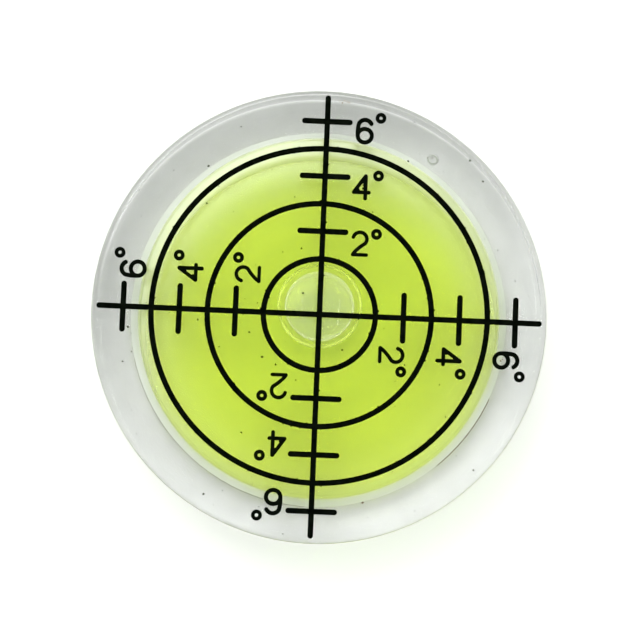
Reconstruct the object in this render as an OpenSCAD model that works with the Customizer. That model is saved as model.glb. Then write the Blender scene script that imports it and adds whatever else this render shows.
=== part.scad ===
// Round bull's-eye bubble level, 66 mm across and 11 mm thick.
//
// A clear moulded vial is closed from below by a cemented base disc. Between them lies the
// coloured liquid, with one air bubble under a dished ceiling. The ceiling is part of a large
// sphere, so the bubble climbs to its highest point: its radius sets how far the bubble
// travels for each degree of tilt, and the marks on the top face follow from the same value.
// The origin is the middle of the underside, +Z is up, and +Y is the arm read as "up".

/* [Disc] */
// Diameter of the disc
disc_d = 66; // [61:0.5:76]
// Thickness of the disc
disc_h = 11; // [9:0.5:16]
// Radius of the rounded edge at the top
top_edge_r = 0.9; // [0.4:0.1:1.4]
// Width of the shallow bevel round the underside
foot_bevel_w = 1.5; // [0.6:0.1:2]
// Height of that bevel at the rim
foot_bevel_h = 0.3; // [0.1:0.05:0.6]

/* [Chamber] */
// Diameter of the liquid chamber where its wall meets the base disc
chamber_d = 53; // [48:0.5:54]
// Slope of the chamber wall that lets the mould's core draw out, in degrees
core_draft = 2; // [0.5:0.5:4]
// Radius of the fillet between the chamber wall and the ceiling
ceiling_fillet_r = 0.6; // [0.3:0.1:1]
// Thickness of the window over the middle of the chamber
window_t = 2; // [1.2:0.1:2.6]

/* [Base disc] */
// Thickness of the base disc
base_t = 3; // [1.5:0.25:3.5]
// Width of the ledge in the vial that the base disc is cemented against
ledge_w = 1.1; // [0.6:0.1:2]
// Gap all round the base disc, which the cement fills
cement_gap = 0.05; // [0.02:0.01:0.15]
// Bevel on the lower edge of the base disc
base_bevel = 0.25; // [0.1:0.05:0.5]

/* [Scale] */
// Travel of the bubble, and so the spacing of the marks, for one degree of tilt
degree_step = 4.05; // [3.6:0.05:4.2]
// Radius of the bubble's edge on the scale when it stands level
level_r = 4.05; // [3:0.05:4.5]
// Width of the engraved lines
line_w = 0.8; // [0.5:0.05:1.2]
// Depth of the engraved lines
line_depth = 0.3; // [0.15:0.05:0.5]
// Length of a tick from end to end
tick_len = 7.4; // [4:0.2:9]
// Distance from the end of a cross line to the outside of the disc
line_margin = 0.8; // [0.6:0.1:3]

/* [Bubble] */
// Diameter of the air bubble at its widest
bubble_d = 11.8; // [8:0.2:16]
// Radius of the bubble's rolled edge
bubble_edge_r = 1.2; // [0.8:0.1:1.4]
// How far the middle of the bubble hangs below its rolled edge
bubble_sag = 0.6; // [0.2:0.1:1]
// Angle between the bubble's skin and the ceiling where they meet
bubble_contact = 16; // [10:1:40]
// Tilt of the level that moves the bubble along +X, in degrees
tilt_x = 0; // [-2:0.05:2]
// Tilt of the level that moves the bubble along +Y, in degrees
tilt_y = 0.35; // [-2:0.05:2]

/* [Moulding mark] */
// Diameter of the round mark on the underside of the rim
mark_d = 1.7; // [1:0.1:3]
// Depth of the mark
mark_depth = 0.2; // [0.1:0.05:0.5]
// Direction of the mark from the middle, counted from +X
mark_angle = 57; // [0:1:359]

/* [Hidden] */
clear_colour = [0.86, 0.89, 0.87, 0.45];
base_colour = [0.88, 0.91, 0.9, 0.45];
liquid_colour = [0.72, 0.86, 0.27, 0.75];
air_colour = [0.84, 0.92, 0.66, 0.6];
line_colour = [0.05, 0.06, 0.05];

round_fn = 180;
ceiling_fn = 1440;
overrun = 1;

disc_r = disc_d / 2;
top_flat_r = disc_r - top_edge_r;
foot_r = disc_r - foot_bevel_w;

// A bubble under a sphere moves one radian of arc for each radian of tilt.
ceiling_r = degree_step * 180 / PI;
ceiling_top = disc_h - window_t;
ceiling_centre = ceiling_top - ceiling_r;

chamber_r = chamber_d / 2;
ledge_r = chamber_r + ledge_w;
base_r = ledge_r - cement_gap;
mark_ring_r = (ledge_r + foot_r) / 2;

ring_angles = [1, 3, 5];
tick_angles = [2, 4, 6];
arm_angles = [0, 90, 180, 270];
cross_r = disc_r - line_margin;

bubble_r = bubble_d / 2;
edge_axis_r = bubble_r - bubble_edge_r;
contact_r = edge_axis_r + bubble_edge_r * sin(bubble_contact);
edge_drop = ceiling_fall(contact_r) + bubble_edge_r * cos(bubble_contact);
bowl_drop = edge_drop + bubble_edge_r + bubble_sag;
// The bowl under the bubble runs smoothly into the rolled edge.
bowl_r = (pow(edge_axis_r, 2) + pow(bubble_edge_r + bubble_sag, 2) - pow(bubble_edge_r, 2))
    / (2 * bubble_sag);

// Distance of a mark from the middle, for the tilt in degrees that it stands for
function mark_r(angle) = level_r + degree_step * angle;

// How far the ceiling lies below its highest point at a distance from the axis
function ceiling_fall(r) = ceiling_r - sqrt(pow(ceiling_r, 2) - pow(r, 2));

// The outer form of the disc in half section: a slab with a rounded edge at the top and a
// shallow bevel round the foot
module disc_section() {
    wall_top = disc_h - top_edge_r;
    polygon([
        [0, 0],
        [foot_r, 0],
        [disc_r, foot_bevel_h],
        [disc_r, wall_top],
        [top_flat_r, wall_top],
        [top_flat_r, disc_h],
        [0, disc_h]
    ]);
    translate([top_flat_r, wall_top])
        circle(r = top_edge_r, $fn = round_fn);
}

module disc_form() {
    rotate_extrude($fn = round_fn)
        disc_section();
}

// The chamber in half section. Its wall leans in by the draft, its roof is the ceiling
// sphere, and the fillet touches both.
module chamber_section() {
    slope = tan(core_draft);
    fillet_reach = ceiling_r - ceiling_fillet_r;
    // The fillet's middle lies on a line parallel to the wall and on a circle about the
    // middle of the ceiling sphere.
    line_x = chamber_r + slope * base_t - ceiling_fillet_r / cos(core_draft);
    a = 1 + pow(slope, 2);
    b = line_x * slope + ceiling_centre;
    c = pow(line_x, 2) + pow(ceiling_centre, 2) - pow(fillet_reach, 2);
    fillet_z = (b + sqrt(pow(b, 2) - a * c)) / a;
    fillet_x = line_x - slope * fillet_z;
    roof_share = ceiling_r / fillet_reach;
    roof_x = fillet_x * roof_share;
    roof_z = ceiling_centre + (fillet_z - ceiling_centre) * roof_share;
    wall_x = fillet_x + ceiling_fillet_r * cos(core_draft);
    wall_z = fillet_z + ceiling_fillet_r * sin(core_draft);
    intersection() {
        translate([0, ceiling_centre])
            circle(r = ceiling_r, $fn = ceiling_fn);
        union() {
            polygon([
                [0, base_t],
                [chamber_r, base_t],
                [wall_x, wall_z],
                [fillet_x, fillet_z],
                [roof_x, roof_z],
                [roof_x, disc_h],
                [0, disc_h]
            ]);
            translate([fillet_x, fillet_z])
                circle(r = ceiling_fillet_r, $fn = round_fn);
        }
    }
}

module chamber() {
    rotate_extrude($fn = round_fn)
        chamber_section();
}

// All that the vial is hollowed by from below, in one half section: the chamber, the seat
// of the base disc, and a core that runs through both
module hollow_section() {
    chamber_section();
    translate([0, -overrun])
        square([ledge_r, base_t + overrun]);
    translate([0, -overrun])
        square([chamber_r / 2, base_t + 2 * overrun]);
}

// The bubble in half section, measured from the ceiling's highest point, and carried on
// above the ceiling so that the ceiling trims it
module bubble_section() {
    translate([0, -edge_drop])
        square([edge_axis_r, edge_drop + overrun]);
    translate([edge_axis_r, -edge_drop])
        circle(r = bubble_edge_r, $fn = round_fn);
    intersection() {
        translate([0, bowl_r - bowl_drop])
            circle(r = bowl_r, $fn = round_fn * 2);
        polygon([
            [0, -edge_drop],
            [edge_axis_r, -edge_drop],
            bowl_meets_edge(),
            [bowl_meets_edge()[0], -bowl_drop - overrun],
            [0, -bowl_drop - overrun]
        ]);
    }
}

// The point where the bowl touches the rolled edge, on the line through both middles
function bowl_meets_edge() =
    let (share = bowl_r / (bowl_r - bubble_edge_r))
    let (bowl_z = bowl_r - bowl_drop)
    [edge_axis_r * share, bowl_z + (-edge_drop - bowl_z) * share];

// The bubble's whole form, swung about the middle of the ceiling sphere to its place
module bubble_form() {
    translate([0, 0, ceiling_centre])
        rotate([-tilt_y, tilt_x, 0])
            translate([0, 0, ceiling_r])
                rotate_extrude($fn = round_fn)
                    bubble_section();
}

// A line of the scale with round ends, centred on the origin and lying along X
module stroke(length) {
    reach = (length - line_w) / 2;
    square([2 * reach, line_w], center = true);
    for (side = [-1, 1])
        translate([side * reach, 0])
            circle(d = line_w, $fn = 48);
}

module scale_ring(r) {
    difference() {
        circle(r = r + line_w / 2, $fn = 2 * round_fn);
        circle(r = r - line_w / 2, $fn = 2 * round_fn);
    }
}

module scale_drawing() {
    for (angle = ring_angles)
        scale_ring(mark_r(angle));
    for (turn = [0, 90])
        rotate(turn)
            stroke(2 * cross_r);
    for (turn = arm_angles)
        for (angle = tick_angles)
            rotate(turn)
                translate([0, mark_r(angle)])
                    stroke(tick_len);
}

// The engraved lines as one solid that stands out past the top face
module scale_cut() {
    translate([0, 0, disc_h - line_depth])
        linear_extrude(line_depth + overrun)
            scale_drawing();
}

// The clear moulding: window, rim and dished ceiling in one piece, open below
module vial_body() {
    color(clear_colour)
        difference() {
            disc_form();
            rotate_extrude($fn = round_fn)
                hollow_section();
            rotate(mark_angle)
                translate([mark_ring_r, 0, -overrun])
                    cylinder(d = mark_d, h = mark_depth + overrun, $fn = 48);
            scale_cut();
        }
}

// The clear disc that closes the chamber, flush with the rim
module base_disc() {
    color(base_colour)
        rotate_extrude($fn = round_fn)
            polygon([
                [0, 0],
                [base_r - base_bevel, 0],
                [base_r, base_bevel],
                [base_r, base_t],
                [0, base_t]
            ]);
}

// The liquid fills the chamber all round the bubble
module liquid() {
    color(liquid_colour)
        difference() {
            chamber();
            bubble_form();
        }
}

module air_bubble() {
    color(air_colour)
        intersection() {
            chamber();
            bubble_form();
        }
}

// The black paint that fills the engraved lines, level with the top face and its edge
module scale_lines() {
    color(line_colour)
        intersection() {
            disc_form();
            scale_cut();
        }
}

vial_body();
base_disc();
liquid();
air_bubble();
scale_lines();
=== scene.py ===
# %% [markdown]
# # A round bull's-eye level
# The real thing is a clear acrylic disc that stands on its flat underside. A chamber in it
# holds a yellow-green liquid and one air bubble, and black paint fills the engraved scale.
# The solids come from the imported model. This script gives each piece its looks, and builds
# smooth pieces where a facet would show through the clear plastic.

import math
import random

import bpy
from mathutils import Matrix, Vector


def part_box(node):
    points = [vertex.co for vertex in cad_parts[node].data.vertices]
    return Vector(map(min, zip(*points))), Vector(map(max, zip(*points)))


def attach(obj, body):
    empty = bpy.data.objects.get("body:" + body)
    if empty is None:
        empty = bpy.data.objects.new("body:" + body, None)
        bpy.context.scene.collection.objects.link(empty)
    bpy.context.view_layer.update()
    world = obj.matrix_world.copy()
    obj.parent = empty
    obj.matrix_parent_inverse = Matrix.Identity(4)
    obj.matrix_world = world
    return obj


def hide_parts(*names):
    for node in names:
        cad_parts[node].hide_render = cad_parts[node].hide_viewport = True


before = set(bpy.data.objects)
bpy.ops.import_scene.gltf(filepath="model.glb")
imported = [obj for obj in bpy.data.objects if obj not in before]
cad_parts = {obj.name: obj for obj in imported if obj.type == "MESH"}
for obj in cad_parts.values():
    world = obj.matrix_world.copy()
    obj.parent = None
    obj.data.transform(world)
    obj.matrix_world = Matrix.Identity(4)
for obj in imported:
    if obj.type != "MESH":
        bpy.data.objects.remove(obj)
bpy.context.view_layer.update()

# %% [markdown]
# All lengths below are written in millimetres, as a maker reads them off a drawing, and
# turned into metres where a mesh is made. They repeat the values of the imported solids.

# %% The sizes of the real piece
MM = 0.001
DISC_R = 33.0
DISC_H = 11.0
TOP_EDGE_R = 0.9
FOOT_BEVEL_W = 1.5
FOOT_BEVEL_H = 0.3
CHAMBER_R = 26.5
DRAFT = math.radians(2)
CEILING_FILLET_R = 0.6
# The bubble's travel for one degree of tilt, which is also half the step between the rings
DEGREE_STEP = 4.05
CEILING_R = DEGREE_STEP * 180 / math.pi
CEILING_TOP = 9.0
CEILING_CENTRE = CEILING_TOP - CEILING_R
BASE_T = 3.0
LEDGE_R = 27.6
BASE_R = 27.55
BASE_BEVEL = 0.25
BUBBLE_R = 5.9
BUBBLE_EDGE_R = 1.2
BUBBLE_SAG = 0.6
BUBBLE_CONTACT = math.radians(16)
BUBBLE_TILT = math.radians(0.35)
CONTACT_R = BUBBLE_R - BUBBLE_EDGE_R + BUBBLE_EDGE_R * math.sin(BUBBLE_CONTACT)
# The bubble's middle lies this much below the ceiling, and its form is this much flatter
# than a ball. The margin catches its whole skin.
BUBBLE_MIDDLE = 1.3
BUBBLE_FLATNESS = 1.75
BUBBLE_MARGIN = 0.4
LINE_W = 0.8
PAINT_DEPTH = 0.3
MARK_R = 0.85
MARK_DEPTH = 0.2
MARK_RING_R = 29.55
MARK_ANGLE = math.radians(57)
MARK_SPOT = (MARK_RING_R * math.cos(MARK_ANGLE), MARK_RING_R * math.sin(MARK_ANGLE))
# The cloudy film on the ceiling, which also paints a paler band of light towards the upper
# arm: past the radius about its middle it is as dense as can be, and towards the middle it
# thins out over the fall.
VEIL_AND_LIGHT_CENTRE = (0.4, -2.5, 0)
VEIL_AND_LIGHT_R = 28.6
VEIL_AND_LIGHT_FALL = 2.6
VEIL_AND_LIGHT_MOST = 0.43
# The ceiling over the bubble takes this share of matt sheen, a painted pale reflection seen in the
# bubble.
PAINTED_REFLECTION_SHARE = 0.08
# The top face lies this much below the paint, so that each line stands on it as a real film
PAINT_PROUD = 0.012
# Pieces that touch keep this gap, so that a ray meets one surface at a time
SKIN_GAP = 0.02
# A second loop of edges this near to a corner keeps the flat beside it flat when shaded
LOOP_GAP = 0.03
# Faces are told apart by their places to within this much
HAIR = 0.01
TURNS = 256
BUBBLE_TURNS = 128

disc_low, disc_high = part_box("vial_body")
print("Disc is", round((disc_high.x - disc_low.x) / MM, 2), "mm across and",
      round((disc_high.z - disc_low.z) / MM, 2), "mm thick")

# %% [markdown]
# Blender's tools act on whatever is selected. The helpers below pick one piece at a time,
# draw a half section by pulling one point along it, and turn that line round the Z axis, as
# a lathe does. A lathe form fits every piece here but the print.


# %% Helpers for picking and turning
def pick(piece):
    bpy.ops.object.select_all(action="DESELECT")
    piece.select_set(True)
    bpy.context.view_layer.objects.active = piece


def arc(centre, radius, start, end, steps):
    """Points on an arc in the section plane, angles in radians from +X towards +Z."""
    points = []
    for i in range(steps + 1):
        angle = start + (end - start) * i / steps
        points.append((centre[0] + radius * math.cos(angle), centre[1] + radius * math.sin(angle)))
    return points


def draw_line(name, points):
    """One mesh line through 3-D points in millimetres, drawn by extruding a single vertex."""
    bpy.ops.object.select_all(action="DESELECT")
    first = Vector(points[0]) * MM
    bpy.ops.mesh.primitive_plane_add(size=MM, location=first)
    piece = bpy.context.object
    piece.name = name
    bpy.ops.object.transform_apply(location=True)
    bpy.ops.object.mode_set(mode="EDIT")
    bpy.ops.mesh.select_mode(type="VERT")
    bpy.ops.mesh.select_all(action="SELECT")
    bpy.ops.mesh.merge(type="CENTER")
    here = first
    for point in points[1:]:
        there = Vector(point) * MM
        bpy.ops.mesh.extrude_region_move(TRANSFORM_OT_translate={"value": there - here})
        here = there
    bpy.ops.object.mode_set(mode="OBJECT")
    return piece


def turn_section(name, section, turns=TURNS):
    """Turns a half section, given as (radius, height) points, once round the Z axis."""
    piece = draw_line(name, [(r, 0, z) for r, z in section])
    bpy.ops.object.mode_set(mode="EDIT")
    bpy.ops.mesh.select_all(action="SELECT")
    bpy.ops.mesh.spin(steps=turns, angle=2 * math.pi, center=(0, 0, 0), axis=(0, 0, 1))
    bpy.ops.mesh.select_all(action="SELECT")
    bpy.ops.mesh.remove_doubles(threshold=0.0002 * MM)
    bpy.ops.mesh.normals_make_consistent(inside=False)
    bpy.ops.object.mode_set(mode="OBJECT")
    return piece


def smooth(piece, angle=25):
    pick(piece)
    bpy.ops.object.shade_smooth_by_angle(angle=math.radians(angle))


def coat(piece, *mats):
    """Gives a piece its finishes, in the order in which its faces number them."""
    piece.data.materials.clear()
    for mat in mats:
        piece.data.materials.append(mat)


def settle(piece, node=None):
    """Lets a finished piece ride with the part, stand for its solid and print its count of faces."""
    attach(piece, "root")
    if node:
        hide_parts(node)
    print(piece.name, "has", len(piece.data.polygons), "faces")


def cut(piece, tool, operation="DIFFERENCE"):
    """Cuts or joins one piece with another one, which is used up."""
    pick(piece)
    step = piece.modifiers.new("cut", "BOOLEAN")
    step.operation = operation
    step.solver = "EXACT"
    step.object = tool
    bpy.ops.object.modifier_apply(modifier=step.name)
    bpy.data.objects.remove(tool)


# %% [markdown]
# ## The camera
# The photograph was taken from nearly straight above, about 290 mm away, with the camera
# leaning 6 degrees towards the lower arm and turned 2.5 degrees. Those values were fitted to
# the rings and the ends of the cross.

# %% Place the camera
camera_data = bpy.data.cameras.new("camera")
camera = bpy.data.objects.new("camera", camera_data)
bpy.context.collection.objects.link(camera)
bpy.context.scene.camera = camera
CAMERA_AWAY = 292.9
camera_data.sensor_width = 36
camera_data.lens = 114.13
camera_data.clip_start = 0.01
back = Vector((-0.01513, -0.105, 0.99436)).normalized()
aim = Vector((0.12, -0.8, 11)) * MM
roll = math.radians(2.47)
flat_x = (Vector((1, 0, 0)) - back * back.x).normalized()
flat_y = back.cross(flat_x)
right = math.cos(roll) * flat_x + math.sin(roll) * flat_y
up = math.cos(roll) * flat_y - math.sin(roll) * flat_x
place = Matrix((right, up, back)).transposed().to_4x4()
place.translation = aim + back * CAMERA_AWAY * MM
camera.matrix_world = place
print("Camera stands at", [round(v / MM, 1) for v in place.translation], "mm")

# %% [markdown]
# ## Finishes
# Clear plastic, liquid and air are three media that touch. Cycles bends a ray at each
# surface by that surface's own number, so only the outer skin of the disc and the skin of
# the bubble bend light here. Walls that are wetted by liquid or cement are index-matched on
# the real piece, nearly unseen, and let rays pass.


# %% Helpers for materials
def new_material(name):
    mat = bpy.data.materials.new(name)
    mat.use_nodes = True
    nodes = mat.node_tree.nodes
    nodes.clear()
    out = nodes.new("ShaderNodeOutputMaterial")
    return mat, nodes, mat.node_tree.links, out


def principled(nodes, colour, roughness, ior=1.49, transmission=0.0):
    shader = nodes.new("ShaderNodeBsdfPrincipled")
    shader.inputs["Base Color"].default_value = (*colour, 1)
    shader.inputs["Roughness"].default_value = roughness
    shader.inputs["IOR"].default_value = ior
    shader.inputs["Transmission Weight"].default_value = transmission
    return shader


def transparent(nodes, colour=(1, 1, 1)):
    shader = nodes.new("ShaderNodeBsdfTransparent")
    shader.inputs["Color"].default_value = (*colour, 1)
    return shader


def sheen(nodes, colour, roughness):
    """A cloudy film, which gives back the light of a wide part of the room. Here it also
    paints lines and bands of light.
    """
    shader = nodes.new("ShaderNodeBsdfAnisotropic")
    shader.inputs["Color"].default_value = (*colour, 1)
    shader.inputs["Roughness"].default_value = roughness
    return shader


def mix(nodes, links, factor, first, second):
    """A Mix Shader; factor is a number or an output socket."""
    node = nodes.new("ShaderNodeMixShader")
    if isinstance(factor, (int, float)):
        node.inputs["Fac"].default_value = factor
    else:
        links.new(factor, node.inputs["Fac"])
    links.new(first.outputs[0], node.inputs[1])
    links.new(second.outputs[0], node.inputs[2])
    return node


def distance_from(nodes, links, centre, scale=(1, 1, 1)):
    """Distance in metres from a point given in millimetres. A scale flattens the sphere."""
    place = nodes.new("ShaderNodeTexCoord")
    move = nodes.new("ShaderNodeMapping")
    move.vector_type = "POINT"
    move.inputs["Location"].default_value = [-c * MM * k for c, k in zip(centre, scale)]
    move.inputs["Scale"].default_value = scale
    links.new(place.outputs["Object"], move.inputs["Vector"])
    length = nodes.new("ShaderNodeVectorMath")
    length.operation = "LENGTH"
    links.new(move.outputs["Vector"], length.inputs[0])
    return length.outputs["Value"]


def math_node(nodes, links, operation, first, second=None):
    """A Math node on numbers or output sockets."""
    node = nodes.new("ShaderNodeMath")
    node.operation = operation
    for i, value in enumerate((first, second)):
        if isinstance(value, (int, float)):
            node.inputs[i].default_value = value
        elif value is not None:
            links.new(value, node.inputs[i])
    return node.outputs[0]


def ring_mask(nodes, links, reach, radius, fade, most):
    """A soft ring in millimetres: most on the radius, and 0 a fade away on either side."""
    off = math_node(nodes, links, "SUBTRACT", reach, radius * MM)
    off = math_node(nodes, links, "ABSOLUTE", off)
    share = math_node(nodes, links, "DIVIDE", off, fade * MM)
    share = math_node(nodes, links, "SUBTRACT", 1.0, share)
    share = math_node(nodes, links, "MAXIMUM", share, 0.0)
    return math_node(nodes, links, "MULTIPLY", share, most)


def over_bubble(nodes, links):
    """1 on the part of the ceiling that the bubble touches and 0 elsewhere."""
    reach = distance_from(nodes, links, bubble_centre(), (1, 1, 0))
    return math_node(nodes, links, "LESS_THAN", reach, CONTACT_R * MM)


def round_bubble(nodes, links):
    """1 on the liquid's skin round the bubble, and 0 on its skin under the ceiling."""
    near = distance_from(nodes, links, bubble_centre(), (1, 1, BUBBLE_FLATNESS))
    inside = math_node(nodes, links, "LESS_THAN", near, (BUBBLE_R + BUBBLE_MARGIN) * MM)
    radius = distance_from(nodes, links, (0, 0, CEILING_CENTRE))
    below = math_node(nodes, links, "LESS_THAN", radius, (CEILING_R - 3 * SKIN_GAP) * MM)
    return math_node(nodes, links, "MULTIPLY", inside, below)


def bubble_centre():
    """The middle of the bubble, a little below the ceiling, in millimetres."""
    reach = CEILING_R - BUBBLE_MIDDLE
    return Vector((0, math.sin(BUBBLE_TILT) * reach, CEILING_CENTRE + math.cos(BUBBLE_TILT) * reach))


# %% Clear acrylic
def clear_acrylic(name, scuffed=0.0, roughness=0.0):
    """The polished outer skin of the disc, with faint waviness from the mould. The underside
    is scuffed and dulled by the surfaces that it has stood on."""
    mat, nodes, links, out = new_material(name)
    glass = principled(nodes, (0.95, 0.96, 0.955), roughness, 1.49, 1.0)
    noise = nodes.new("ShaderNodeTexNoise")
    noise.inputs["Scale"].default_value = 260
    noise.inputs["Detail"].default_value = 2
    bump = nodes.new("ShaderNodeBump")
    bump.inputs["Strength"].default_value = 0.04
    bump.inputs["Distance"].default_value = 0.02 * MM
    place = nodes.new("ShaderNodeTexCoord")
    links.new(place.outputs["Object"], noise.inputs["Vector"])
    links.new(noise.outputs["Fac"], bump.inputs["Height"])
    links.new(bump.outputs["Normal"], glass.inputs["Normal"])
    if scuffed == 0:
        links.new(glass.outputs[0], out.inputs["Surface"])
        return mat
    scuffs = nodes.new("ShaderNodeBsdfDiffuse")
    scuffs.inputs["Color"].default_value = (0.82, 0.84, 0.83, 1)
    share = math_node(nodes, links, "MULTIPLY", noise.outputs["Fac"], 0.8 * scuffed)
    share = math_node(nodes, links, "ADD", share, 0.6 * scuffed)
    links.new(mix(nodes, links, share, glass, scuffs).outputs[0], out.inputs["Surface"])
    return mat


def wetted_acrylic(name, veil_and_light_share=0.0):
    """A wall of the chamber. It bends light only where the bubble touches it. The ceiling is
    a little matt near its edge, most of all towards the upper arm, where this film also paints
    a paler band of light. It carries a painted bright line, the light that the bubble's rolled
    edge throws on it."""
    mat, nodes, links, out = new_material(name)
    glass = principled(nodes, (1, 1, 1), 0.0, 1.49, 1.0)
    wet = transparent(nodes)
    matt = sheen(nodes, (0.95, 1, 0.88), 0.36)
    # The film is denser towards the upper arm, so it also paints a paler band of light there.
    reach = distance_from(nodes, links, VEIL_AND_LIGHT_CENTRE, (1, 1, 0))
    past = math_node(nodes, links, "SUBTRACT", reach, VEIL_AND_LIGHT_R * MM)
    fall = math_node(nodes, links, "DIVIDE", past, VEIL_AND_LIGHT_FALL * MM)
    veil_and_light = math_node(nodes, links, "EXPONENT", fall)
    veil_and_light = math_node(nodes, links, "MINIMUM", veil_and_light, VEIL_AND_LIGHT_MOST)
    veil_and_light = math_node(nodes, links, "MULTIPLY", veil_and_light, veil_and_light_share)
    skin = mix(nodes, links, veil_and_light, wet, matt)
    # A painted bright line on the ceiling: the light that the bubble's rolled edge throws there.
    from_bubble = distance_from(nodes, links, bubble_centre(), (1, 1, 0))
    line = ring_mask(nodes, links, from_bubble, radius=BUBBLE_R + 0.05, fade=0.3,
                     most=0.7 * veil_and_light_share)
    skin = mix(nodes, links, line, skin, sheen(nodes, (0.85, 1, 0.2), 0.45))
    # Over the bubble a share of matt sheen paints the pale reflection seen in the bubble.
    painted_reflection = mix(nodes, links, PAINTED_REFLECTION_SHARE, glass, matt)
    links.new(mix(nodes, links, over_bubble(nodes, links), skin, painted_reflection).outputs[0],
              out.inputs["Surface"])
    return mat


def drafted_acrylic():
    """The steep wall of the chamber, left a little matt by the mould's core."""
    mat, nodes, links, out = new_material("drafted_acrylic")
    wet = transparent(nodes)
    matt = nodes.new("ShaderNodeBsdfTranslucent")
    matt.inputs["Color"].default_value = (0.93, 0.95, 0.92, 1)
    links.new(mix(nodes, links, 0.1, wet, matt).outputs[0], out.inputs["Surface"])
    return mat


def cemented_acrylic(name, share):
    """A wall in the cement joint: share tells how milky the cement has dried on it."""
    mat, nodes, links, out = new_material(name)
    wet = transparent(nodes)
    surface = nodes.new("ShaderNodeBsdfDiffuse")
    surface.inputs["Color"].default_value = (0.95, 0.96, 0.93, 1)
    milk = mix(nodes, links, 0.35, sheen(nodes, (0.93, 0.97, 0.93), 0.5), surface)
    links.new(mix(nodes, links, share, wet, milk).outputs[0], out.inputs["Surface"])
    return mat


def green_liquid():
    """A clear yellow-green liquid that takes blue away, and bends light at the bubble."""
    mat, nodes, links, out = new_material("green_liquid")
    glass = principled(nodes, (1, 1, 1), 0.0, 1.4, 1.0)
    wet = transparent(nodes)
    # Only the bowl bends light, and that fades away just outside the contact line. The
    # bright line of the rolled edge is painted on the ceiling.
    fade = 0.25 * MM
    reach = distance_from(nodes, links, bubble_centre(), (1, 1, 0))
    past = math_node(nodes, links, "SUBTRACT", reach, CONTACT_R * MM)
    share = math_node(nodes, links, "DIVIDE", past, fade)
    share = math_node(nodes, links, "MAXIMUM", share, 0.0)
    skin = mix(nodes, links, share, glass, wet)
    links.new(mix(nodes, links, round_bubble(nodes, links), wet, skin).outputs[0],
              out.inputs["Surface"])
    dye = nodes.new("ShaderNodeVolumeAbsorption")
    dye.inputs["Color"].default_value = (0.92, 0.995, 0.01, 1)
    dye.inputs["Density"].default_value = 330
    links.new(dye.outputs[0], out.inputs["Volume"])
    return mat


def bubble_air():
    """Air, with a painted pale line of light where the bubble meets the ceiling."""
    mat, nodes, links, out = new_material("bubble_air")
    clear = transparent(nodes)
    film = sheen(nodes, (0.95, 1, 0.75), 0.4)
    reach = distance_from(nodes, links, bubble_centre(), (1, 1, 0))
    # The pale line is painted light: a ring of sheen round the contact line.
    share = ring_mask(nodes, links, reach, radius=CONTACT_R - 0.1, fade=0.15, most=0.2)
    links.new(mix(nodes, links, share, clear, film).outputs[0], out.inputs["Surface"])
    return mat


def black_paint():
    mat, nodes, links, out = new_material("black_paint")
    paint = principled(nodes, (0.012, 0.014, 0.012), 0.45)
    paint.inputs["Specular IOR Level"].default_value = 0.0
    place = nodes.new("ShaderNodeTexCoord")
    noise = nodes.new("ShaderNodeTexNoise")
    noise.inputs["Scale"].default_value = 900
    noise.inputs["Detail"].default_value = 3
    links.new(place.outputs["Object"], noise.inputs["Vector"])
    ramp = nodes.new("ShaderNodeValToRGB")
    ramp.color_ramp.elements[0].position = 0.35
    ramp.color_ramp.elements[0].color = (0.001, 0.002, 0.001, 1)
    ramp.color_ramp.elements[1].position = 0.75
    ramp.color_ramp.elements[1].color = (0.005, 0.007, 0.004, 1)
    links.new(noise.outputs["Fac"], ramp.inputs["Fac"])
    links.new(ramp.outputs["Color"], paint.inputs["Base Color"])
    bump = nodes.new("ShaderNodeBump")
    bump.inputs["Strength"].default_value = 0.3
    bump.inputs["Distance"].default_value = 0.02 * MM
    links.new(noise.outputs["Fac"], bump.inputs["Height"])
    links.new(bump.outputs["Normal"], paint.inputs["Normal"])
    links.new(paint.outputs[0], out.inputs["Surface"])
    return mat


acrylic = clear_acrylic("clear_acrylic")
scuffed_foot = clear_acrylic("scuffed_underside", scuffed=0.16, roughness=0.1)
rubbed_foot = clear_acrylic("rubbed_underside", roughness=0.2)
ceiling = wetted_acrylic("ceiling_acrylic", veil_and_light_share=0.9)
wetted = wetted_acrylic("wetted_acrylic")
cemented_ledge = cemented_acrylic("cemented_ledge", 0.85)
cemented_seat = cemented_acrylic("cemented_seat", 0.12)
drafted = drafted_acrylic()
liquid_green = green_liquid()
air = bubble_air()
paint_black = black_paint()
print("Made", len(bpy.data.materials), "finishes, with those of the packed model")

# %% [markdown]
# ## The moulded vial
# Window, rim and dished ceiling are one moulding, open below. Its half section is drawn once
# and turned. The dished ceiling is part of a large sphere, and a small fillet leads it into
# the drafted wall.


# %% Sections of the chamber and of the vial
def chamber_side(inset=0.0):
    """From the middle of the ceiling down to the foot of the chamber wall. A positive inset
    draws it that much smaller, for what fills the chamber."""
    roof_r = CEILING_R - inset
    wall_r = CHAMBER_R - inset / math.cos(DRAFT)
    slope = math.tan(DRAFT)
    line_x = wall_r + slope * BASE_T - CEILING_FILLET_R / math.cos(DRAFT)
    reach = roof_r - CEILING_FILLET_R
    a = 1 + slope ** 2
    b = line_x * slope + CEILING_CENTRE
    c = line_x ** 2 + CEILING_CENTRE ** 2 - reach ** 2
    fillet_z = (b + math.sqrt(b ** 2 - a * c)) / a
    fillet_x = line_x - slope * fillet_z
    roof_end = math.atan2(fillet_z - CEILING_CENTRE, fillet_x)
    points = arc((0, CEILING_CENTRE), roof_r, math.pi / 2, roof_end, 40)
    points += arc((fillet_x, fillet_z), CEILING_FILLET_R, roof_end, DRAFT, 10)[1:]
    foot_z = BASE_T + inset
    points.append((wall_r - slope * (foot_z - BASE_T), foot_z))
    points[0] = (0, points[0][1])
    return points


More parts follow.
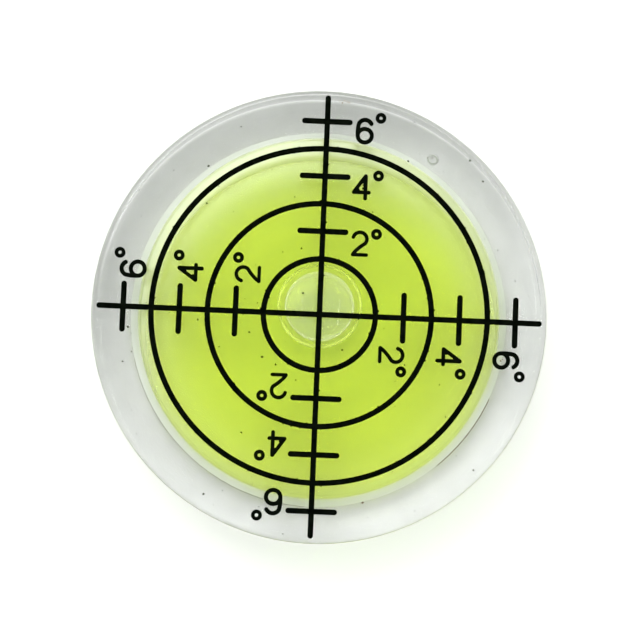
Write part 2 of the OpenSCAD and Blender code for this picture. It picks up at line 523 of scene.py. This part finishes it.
TOP_Z = DISC_H - PAINT_PROUD
vial_section = chamber_side()
vial_section += [(LEDGE_R, BASE_T), (LEDGE_R, 0)]
vial_section += [(LEDGE_R + LOOP_GAP, 0), (DISC_R - FOOT_BEVEL_W - LOOP_GAP, 0)]
vial_section += [(DISC_R - FOOT_BEVEL_W, 0), (DISC_R, FOOT_BEVEL_H)]
vial_section += arc((DISC_R - TOP_EDGE_R, TOP_Z - TOP_EDGE_R), TOP_EDGE_R, 0, math.pi / 2, 16)
vial_section += [(DISC_R - TOP_EDGE_R - LOOP_GAP, TOP_Z), (0, TOP_Z)]
vial = turn_section("vial_moulding", vial_section)

# %% The round mark of the mould, and the vial's finishes
bpy.ops.object.select_all(action="DESELECT")
bpy.ops.mesh.primitive_cylinder_add(
    vertices=48, radius=MARK_R * MM, depth=2 * MARK_DEPTH * MM,
    location=(MARK_SPOT[0] * MM, MARK_SPOT[1] * MM, 0))
mark = bpy.context.object
bpy.ops.object.transform_apply(location=True)
rounding = mark.modifiers.new("round", "BEVEL")
rounding.width = 0.08 * MM
rounding.segments = 3
bpy.ops.object.modifier_apply(modifier=rounding.name)
cut(vial, mark)
smooth(vial)
coat(vial, acrylic, ceiling, cemented_ledge, drafted, cemented_seat, scuffed_foot)
SKIN, ROOF, LEDGE, WALL, SEAT, FOOT = range(6)
for face in vial.data.polygons:
    spot = face.center / MM
    reach = math.hypot(spot.x, spot.y)
    if reach < CHAMBER_R and spot.z < DISC_H - 1:
        face.material_index = WALL if abs(face.normal.z) < 0.5 else ROOF
    elif reach < LEDGE_R + 2 * HAIR and spot.z < BASE_T + HAIR:
        face.material_index = LEDGE if spot.z > BASE_T - HAIR else SEAT
    else:
        looks_down = spot.z < 2 * FOOT_BEVEL_H and face.normal.z < -0.5
        face.material_index = FOOT if looks_down else SKIN
settle(vial, "vial_body")

# %% [markdown]
# ## The base disc
# A plain clear disc closes the chamber. A small bevel on its lower edge leaves a fine groove
# at the joint, where dirt collects.

# %% Turn the base disc
base = turn_section("closing_disc", [
    (0, 0), (BASE_R - BASE_BEVEL - LOOP_GAP, 0), (BASE_R - BASE_BEVEL, 0), (BASE_R, BASE_BEVEL),
    (BASE_R, BASE_T - SKIN_GAP), (BASE_R - LOOP_GAP, BASE_T - SKIN_GAP), (0, BASE_T - SKIN_GAP)])
smooth(base)
coat(base, acrylic, cemented_seat, wetted, rubbed_foot)
BEVEL, SIDE, TOP, BOTTOM = range(4)
for face in base.data.polygons:
    if face.center.z > (BASE_T - 2 * SKIN_GAP) * MM:
        face.material_index = TOP
    elif face.center.z < HAIR * MM:
        face.material_index = BOTTOM
    else:
        face.material_index = SIDE if face.center.z > BASE_BEVEL * MM else BEVEL
settle(base, "base_disc")

# %% [markdown]
# ## The liquid and the bubble
# The bubble is turned about its own upright axis and then swung about the middle of the
# ceiling sphere, as the tilt of the level moves it. The liquid is the chamber's filling
# with the bubble's form cut out.


# %% Section of the bubble
def bubble_section(grow=0.0):
    """Half section of the bubble, down from the ceiling, heights measured in the part."""
    axis_r = BUBBLE_R - BUBBLE_EDGE_R
    fall = CEILING_R - math.sqrt(CEILING_R ** 2 - CONTACT_R ** 2)
    drop = fall + BUBBLE_EDGE_R * math.cos(BUBBLE_CONTACT)
    bowl_drop = drop + BUBBLE_EDGE_R + BUBBLE_SAG
    bowl_r = (axis_r ** 2 + (BUBBLE_EDGE_R + BUBBLE_SAG) ** 2 - BUBBLE_EDGE_R ** 2) / (2 * BUBBLE_SAG)
    bowl_z = bowl_r - bowl_drop
    meet = math.atan2(-drop - bowl_z, axis_r)
    bowl = arc((0, CEILING_TOP + bowl_z), bowl_r + grow, -math.pi / 2, meet, 24)
    edge_r = BUBBLE_EDGE_R + grow
    edge = arc((axis_r, CEILING_TOP - drop), edge_r, meet, math.pi / 2 - BUBBLE_CONTACT, 32)
    bowl[0] = (0, bowl[0][1])
    return bowl + edge[1:]


def swing(piece):
    """Swings a piece about the middle of the ceiling sphere, to where the bubble stands."""
    pick(piece)
    centre = Vector((0, 0, CEILING_CENTRE * MM))
    turn = Matrix.Rotation(-BUBBLE_TILT, 4, "X")
    piece.data.transform(Matrix.Translation(centre) @ turn @ Matrix.Translation(-centre))


air_side = bubble_section()
roof_r = CEILING_R - SKIN_GAP
roof_x = air_side[-1][0] - HAIR
roof_start = math.acos(roof_x / roof_r)
roof = arc((0, CEILING_CENTRE), roof_r, roof_start, math.pi / 2, 12)
roof[-1] = (0, roof[-1][1])
air_side = [point for point in air_side if point[1] < roof[0][1]]
bubble = turn_section("bubble", air_side + roof, BUBBLE_TURNS)
swing(bubble)
smooth(bubble, 35)
coat(bubble, air)
settle(bubble, "air_bubble")

# %% Fill the chamber and cut the bubble out
filling_side = chamber_side(SKIN_GAP)
liquid = turn_section("liquid_filling", filling_side + [
    (filling_side[-1][0] - LOOP_GAP, filling_side[-1][1]), (0, filling_side[-1][1])])
hole_side = bubble_section(SKIN_GAP)
hole_top = CEILING_TOP + 1.5
hole_side += [(hole_side[-1][0] - 0.3, hole_top), (0, hole_top)]
hole = turn_section("hole", hole_side, BUBBLE_TURNS)
swing(hole)
cut(liquid, hole)
smooth(liquid, 35)
coat(liquid, liquid_green)
settle(liquid, "liquid")

# %% [markdown]
# ## The print
# The cross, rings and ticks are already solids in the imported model, so they keep their
# shape and only take the paint. The numerals are engraved with a round cutter, which leaves
# strokes of one width with round ends. Each stroke is drawn as a line, pulled up into a
# ribbon, given its width with Solidify, and its end corners are bevelled round.

# %% Paint on the scale lines
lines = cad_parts["scale_lines"]
coat(lines, paint_black)
print("Painted", lines.name)


def raise_ribbon(piece, width):
    """Turns a flat line into a stroke of that width, from below the top face up to it."""
    pick(piece)
    bpy.ops.object.mode_set(mode="EDIT")
    bpy.ops.mesh.select_all(action="SELECT")
    bpy.ops.mesh.extrude_region_move(TRANSFORM_OT_translate={"value": (0, 0, PAINT_DEPTH * MM)})
    bpy.ops.object.mode_set(mode="OBJECT")
    wall = piece.modifiers.new("width", "SOLIDIFY")
    wall.thickness = width * MM
    wall.offset = 0
    wall.use_even_offset = True
    bpy.ops.object.modifier_apply(modifier=wall.name)


def round_ends(piece, ends, width):
    """Bevels the upright edges at both ends of a stroke until they meet as half circles."""
    pick(piece)
    # The corners stand half a width from the end's middle.
    reach = width * MM * 0.52
    mesh = piece.data
    for item in (mesh.vertices, mesh.edges, mesh.polygons):
        item.foreach_set("select", [False] * len(item))
    for edge in mesh.edges:
        a, b = (mesh.vertices[i].co for i in edge.vertices)
        upright = abs(a.z - b.z) > 0.5 * PAINT_DEPTH * MM
        near = min((a.xy - Vector(end) * MM).length for end in ends) < reach
        edge.select = upright and near
    bpy.context.tool_settings.mesh_select_mode = (False, True, False)
    bpy.ops.object.mode_set(mode="EDIT")
    bpy.ops.mesh.bevel(offset=width * MM * 0.49, segments=6, affect="EDGES")
    bpy.ops.mesh.select_all(action="SELECT")
    bpy.ops.mesh.remove_doubles(threshold=0.002 * MM)
    bpy.ops.mesh.normals_make_consistent(inside=False)
    bpy.ops.object.mode_set(mode="OBJECT")


def stroke(points, width):
    """One stroke with round ends. Its ends are given where the cutter's axis stops."""
    floor_z = DISC_H - PAINT_DEPTH
    half = width / 2
    line = [Vector(p) for p in points]
    line[0] = line[0] + (line[0] - line[1]).normalized() * half
    line[-1] = line[-1] + (line[-1] - line[-2]).normalized() * half
    piece = draw_line("stroke", [(p.x, p.y, floor_z) for p in line])
    raise_ribbon(piece, width)
    round_ends(piece, (line[0], line[-1]), width)
    return piece


def loop(centre, rx, ry, width):
    """A closed stroke: the bowl of a 6 or a degree sign."""
    bpy.ops.object.select_all(action="DESELECT")
    bpy.ops.mesh.primitive_circle_add(
        vertices=48, radius=MM, fill_type="NOTHING",
        location=(centre[0] * MM, centre[1] * MM, (DISC_H - PAINT_DEPTH) * MM))
    piece = bpy.context.object
    piece.scale = (rx, ry, 1)
    bpy.ops.object.transform_apply(location=True, scale=True)
    raise_ribbon(piece, width)
    pick(piece)
    bpy.ops.object.mode_set(mode="EDIT")
    bpy.ops.mesh.select_all(action="SELECT")
    bpy.ops.mesh.normals_make_consistent(inside=False)
    bpy.ops.object.mode_set(mode="OBJECT")
    return piece


# %% The three numerals, each once
def bend(start, pull, end, steps):
    """Points on a curve from start to end, drawn towards a third point."""
    points = []
    for i in range(steps + 1):
        t = i / steps
        near, middle, far = (1 - t) ** 2, 2 * t * (1 - t), t ** 2
        points.append((near * start[0] + middle * pull[0] + far * end[0],
                       near * start[1] + middle * pull[1] + far * end[1]))
    return points


TWO = arc((1.24, 2.52), 1.01, math.radians(165), math.radians(-35), 10)
TWO += bend(TWO[-1], (0.75, 1.05), (0.25, 0.24), 5)[1:]
SIX_STEM = arc((1.40, 2.62), 1.02, math.radians(28), math.radians(150), 7)
SIX_STEM += bend(SIX_STEM[-1], (0.30, 2.40), (0.37, 1.35), 5)[1:]
SIGN_R = 0.52
SIGN_W = 0.54


def moved(points, corner):
    return [(x + corner[0], y + corner[1]) for x, y in points]


def numeral(figure):
    """One figure with its degree sign, placed as it stands beside the upper arm."""
    if figure == 2:
        corner = (4.19, 8.73)
        parts = [stroke(moved(TWO, corner), 0.52),
                 stroke(moved([(0.25, 0.22), (2.24, 0.22)], corner), 0.50)]
        sign = (7.80, 12.05)
    elif figure == 4:
        corner = (3.97, 17.00)
        parts = [stroke(moved([(1.93, 3.52), (0.27, 1.12)], corner), 0.54),
                 stroke(moved([(0.27, 1.12), (2.48, 1.12)], corner), 0.54),
                 stroke(moved([(1.97, 3.52), (1.97, 0.25)], corner), 0.56),
                 stroke(moved([(1.82, 3.25), (1.60, 2.70)], corner), 0.42),
                 stroke(moved([(0.60, 1.30), (0.90, 1.52)], corner), 0.40)]
        sign = (7.77, 20.63)
    else:
        corner = (4.13, 25.20)
        parts = [stroke(moved(SIX_STEM, corner), 0.62),
                 loop((corner[0] + 1.40, corner[1] + 1.30), 1.03, 1.00, 0.60)]
        sign = (7.80, 29.18)
    whole = parts[0]
    for part in parts[1:]:
        cut(whole, part, "UNION")
    ring = loop(sign, SIGN_R, SIGN_R, SIGN_W)
    cut(whole, ring, "UNION")
    whole.name = "numeral_%d_north" % figure
    smooth(whole, 30)
    coat(whole, paint_black)
    return whole


# %% [markdown]
# Every arm carries the same three figures, turned with the arm, so that each reads upright
# from its own side. Each copy gets its own mesh before it is turned.

# %% Copy the numerals to the other arms
for figure in (2, 4, 6):
    first = numeral(figure)
    for arm, quarter in (("east", 1), ("south", 2), ("west", 3)):
        copy = first.copy()
        copy.data = first.data.copy()
        copy.name = "numeral_%d_%s" % (figure, arm)
        bpy.context.collection.objects.link(copy)
        copy.data.transform(Matrix.Rotation(-quarter * math.pi / 2, 4, "Z"))
        settle(copy)
    settle(first)

# %% [markdown]
# ## Wear and dirt
# Specks of dust and paint lie on the top face, and brown dirt has crept into the joint of
# the base disc. The larger specks stand where the piece shows them, the rest are scattered.


# %% Specks on the top face
def dull(name, colour, spread):
    """A dull finish for dirt, lighter and darker by the given spread."""
    mat, nodes, links, out = new_material(name)
    noise = nodes.new("ShaderNodeTexNoise")
    noise.inputs["Scale"].default_value = 700
    place = nodes.new("ShaderNodeTexCoord")
    links.new(place.outputs["Object"], noise.inputs["Vector"])
    ramp = nodes.new("ShaderNodeValToRGB")
    for element, level in zip(ramp.color_ramp.elements, (1 - spread, 1 + spread)):
        element.color = (*[c * level for c in colour], 1)
    links.new(noise.outputs["Fac"], ramp.inputs["Fac"])
    dirt = principled(nodes, colour, 0.8)
    links.new(ramp.outputs["Color"], dirt.inputs["Base Color"])
    links.new(dirt.outputs[0], out.inputs["Surface"])
    return mat


# The middle of a grain that lies on the top face
GRAIN_Z = TOP_Z + 0.006


def speck(x, y, r, z=GRAIN_Z, height=0.005):
    """A flat round grain, r by 0.8 r, on the top face or at another height."""
    bpy.ops.mesh.primitive_uv_sphere_add(segments=10, ring_count=5, radius=MM)
    grain = bpy.context.object
    grain.scale = (r, 0.8 * r, height)
    grain.rotation_euler = (0, 0, 7 * x + 3 * y)
    grain.location = Vector((x, y, z)) * MM
    bpy.ops.object.transform_apply(location=True, rotation=True, scale=True)
    return grain


def gather(name, grains, mat):
    """Joins grains into one piece with its own finish."""
    bpy.ops.object.select_all(action="DESELECT")
    for grain in grains:
        grain.select_set(True)
    bpy.context.view_layer.objects.active = grains[0]
    bpy.ops.object.join()
    grains[0].name = name
    coat(grains[0], mat)
    smooth(grains[0], 60)
    settle(grains[0])
    return grains[0]


bpy.ops.object.select_all(action="DESELECT")
random.seed(66)
LARGE_SPECKS = [(-3, 9.5), (-2.5, 3), (-10, -3), (-6, -7.5), (3.5, -5), (-8, -6.5), (-17, 15.5),
                (-17, 21), (21, 23.5), (23, 20.5), (12, 23), (-10.5, -17.5), (-15.5, -26.5),
                (-28, -8), (23, -21.5), (-17.5, -1.5), (-27.5, -3)]
grains = [speck(x, y, random.uniform(0.15, 0.21)) for x, y in LARGE_SPECKS]
for _ in range(70):
    reach = 32 * math.sqrt(random.random())
    way = random.uniform(0, 2 * math.pi)
    grains.append(speck(reach * math.cos(way), reach * math.sin(way), random.uniform(0.05, 0.12)))
gather("dust", grains, dull("dark_dust", (0.04, 0.05, 0.02), 0.5))

# %% Bumps along the paint, smudges by the upper edge
bumps = []
for degrees, count in ((2, 12), (4, 20), (6, 26)):
    for _ in range(count):
        way = random.uniform(0, 2 * math.pi)
        edge = degrees * DEGREE_STEP + random.choice((-LINE_W / 2, LINE_W / 2))
        bumps.append(speck(edge * math.cos(way), edge * math.sin(way), random.uniform(0.1, 0.19)))
beside = LINE_W / 2 + 0.02
for along in (5.7, -11.0, 13.5, -20.5, 22.0):
    bumps.append(speck(beside, along, 0.16))
    bumps.append(speck(along, -beside, 0.12))
# The upper 4 is blotted inside.
for x, y, r in ((5.62, 18.70, 0.22), (5.64, 19.15, 0.19), (5.66, 19.45, 0.14), (4.93, 18.50, 0.22)):
    bumps.append(speck(x, y, r))
gather("paint_bumps", bumps, paint_black)
smudges = [speck(1.7 + 0.35 * i + random.uniform(-0.1, 0.1), 31.4 + random.uniform(-0.2, 0.2),
                 random.uniform(0.08, 0.16)) for i in range(5)]
smudges += [speck(26.4, -5.6, 0.16), speck(26.65, -5.4, 0.1)]
gather("smudges", smudges, dull("pale_smudge", (0.32, 0.27, 0.2), 0.2))


# %% Threads of dirt in the joint
def thread(name, points, thickness):
    """A fine round thread along points: a line, made a curve, given its thickness."""
    piece = draw_line(name, points)
    pick(piece)
    bpy.ops.object.convert(target="CURVE")
    piece.data.bevel_depth = thickness / 2 * MM
    piece.data.bevel_resolution = 1
    piece.data.use_fill_caps = True
    bpy.ops.object.convert(target="MESH")
    return bpy.context.object


# The dirt lies just below the ledge and outside it, where it shows through the clear rim.
DIRT_Z = BASE_T - 0.1
DIRT_R = LEDGE_R + 0.06


def joint_thread(name, start, end, thickness):
    """A thread along the joint between two directions in degrees, a little uneven."""
    points = []
    for degree in range(start, end + 1):
        way = math.radians(degree)
        reach = DIRT_R + 0.02 * math.sin(degree * 1.7)
        points.append((reach * math.cos(way), reach * math.sin(way), DIRT_Z + 0.02 * math.sin(degree)))
    return thread(name, points, thickness)


brown = dull("brown_dirt", (0.2, 0.13, 0.07), 0.4)
grey = dull("grey_dirt", (0.34, 0.33, 0.27), 0.3)
gather("joint_dirt", [joint_thread("east", -49, -23, 0.13),
                      speck(7.5, -26.7, 0.2, DIRT_Z, 0.08)], brown)
gather("joint_dust", [joint_thread("west", 195, 268, 0.06)], grey)
scratch = [(x, y, TOP_Z + 0.005) for x, y in bend((25.8, -14.3), (26.6, -14.4), (27.1, -13.8), 8)]
gather("scratch", [thread("scratch", scratch, 0.012)], grey)

# %% The ring that the mould's pin left
bpy.ops.object.select_all(action="DESELECT")
bpy.ops.mesh.primitive_torus_add(
    major_radius=0.62 * MM, minor_radius=0.09 * MM, major_segments=36, minor_segments=8,
    location=(MARK_SPOT[0] * MM, MARK_SPOT[1] * MM, MARK_DEPTH / 2 * MM))
pin_ring = bpy.context.object
bpy.ops.object.transform_apply(location=True)
gather("pin_ring", [pin_ring], dull("pale_flash", (0.85, 0.88, 0.82), 0.1))
gather("pin_dirt", [speck(x, y, 0.13, 0.1, 0.04) for x, y in ((16, 25), (15.3, 25), (16.3, 24.2))],
       grey)

# %% [markdown]
# ## Floor and light
# The disc lies on a plain white sheet under a wide soft lamp. Two thin tubes, hung level
# above it, are mirrored as fine glints in the clear plastic.

# %% The floor
def shown_straight(nodes, links):
    """1 for rays that show the background, straight or through and off glass, and 0 for rays
    that carry light to a surface."""
    path = nodes.new("ShaderNodeLightPath")
    seen = math_node(nodes, links, "MAXIMUM", path.outputs["Is Camera Ray"],
                     path.outputs["Is Glossy Ray"])
    seen = math_node(nodes, links, "MAXIMUM", seen, path.outputs["Is Transmission Ray"])
    first = math_node(nodes, links, "LESS_THAN", path.outputs["Diffuse Depth"], 0.5)
    return math_node(nodes, links, "MULTIPLY", seen, first)


# The sheet glows a little where it is seen, through glass or straight, so that it is white
GLOW_THROUGH = 0.09
GLOW_STRAIGHT = 0.42

bpy.ops.object.select_all(action="DESELECT")
bpy.ops.mesh.primitive_plane_add(size=4, location=(0, 0, -SKIN_GAP * MM))
floor = bpy.context.object
floor.name = "floor"
floor_mat, nodes, links, out = new_material("white_sheet")
sheet = nodes.new("ShaderNodeBsdfDiffuse")
sheet.inputs["Color"].default_value = (0.86, 0.86, 0.86, 1)
glow = nodes.new("ShaderNodeEmission")
through = math_node(nodes, links, "MULTIPLY", shown_straight(nodes, links), GLOW_THROUGH)
straight = nodes.new("ShaderNodeLightPath").outputs["Is Camera Ray"]
straight = math_node(nodes, links, "MULTIPLY", straight, GLOW_STRAIGHT)
amount = math_node(nodes, links, "MAXIMUM", through, straight)
links.new(amount, glow.inputs["Strength"])
both = nodes.new("ShaderNodeAddShader")
links.new(sheet.outputs[0], both.inputs[0])
links.new(glow.outputs[0], both.inputs[1])
links.new(both.outputs[0], out.inputs["Surface"])
floor.data.materials.append(floor_mat)

# %% The world and the lamp
world = bpy.data.worlds.new("studio")
bpy.context.scene.world = world
world.use_nodes = True
nodes, links = world.node_tree.nodes, world.node_tree.links
nodes.clear()
out = nodes.new("ShaderNodeOutputWorld")
surround = nodes.new("ShaderNodeBackground")
surround.inputs["Color"].default_value = (1, 1, 1, 1)
surround.inputs["Strength"].default_value = 0.72
white = nodes.new("ShaderNodeBackground")
white.inputs["Strength"].default_value = 1.0
white.inputs["Color"].default_value = (1, 1, 1, 1)
links.new(mix(nodes, links, shown_straight(nodes, links), surround, white).outputs[0],
          out.inputs["Surface"])


def softbox(name, spot, width, height, power):
    data = bpy.data.lights.new(name, "AREA")
    data.shape = "RECTANGLE"
    data.size = width
    data.size_y = height
    data.energy = power
    lamp = bpy.data.objects.new(name, data)
    bpy.context.collection.objects.link(lamp)
    lamp.location = spot
    lamp.rotation_euler = (Vector((0, 0, 0)) - Vector(spot)).to_track_quat("-Z", "Y").to_euler()
    lamp.visible_camera = False
    return lamp


softbox("softbox", (-0.22, 0.45, 0.53), width=0.7, height=0.45, power=2.3)
for side in (-1, 1):
    tube = softbox("tube", (side * 0.075, 0.1, 0.302), width=0.004, height=0.2, power=0.05)
    tube.rotation_euler = (0, 0, 0)
print("Lamps:", len(bpy.data.lights))

# %% Light paths and colour
cycles = bpy.context.scene.cycles
cycles.max_bounces = 24
cycles.transmission_bounces = 20
cycles.transparent_max_bounces = 40
cycles.blur_glossy = 0
bpy.context.scene.view_settings.view_transform = "Standard"

# %% Bring the scene up to date
bpy.context.view_layer.update()
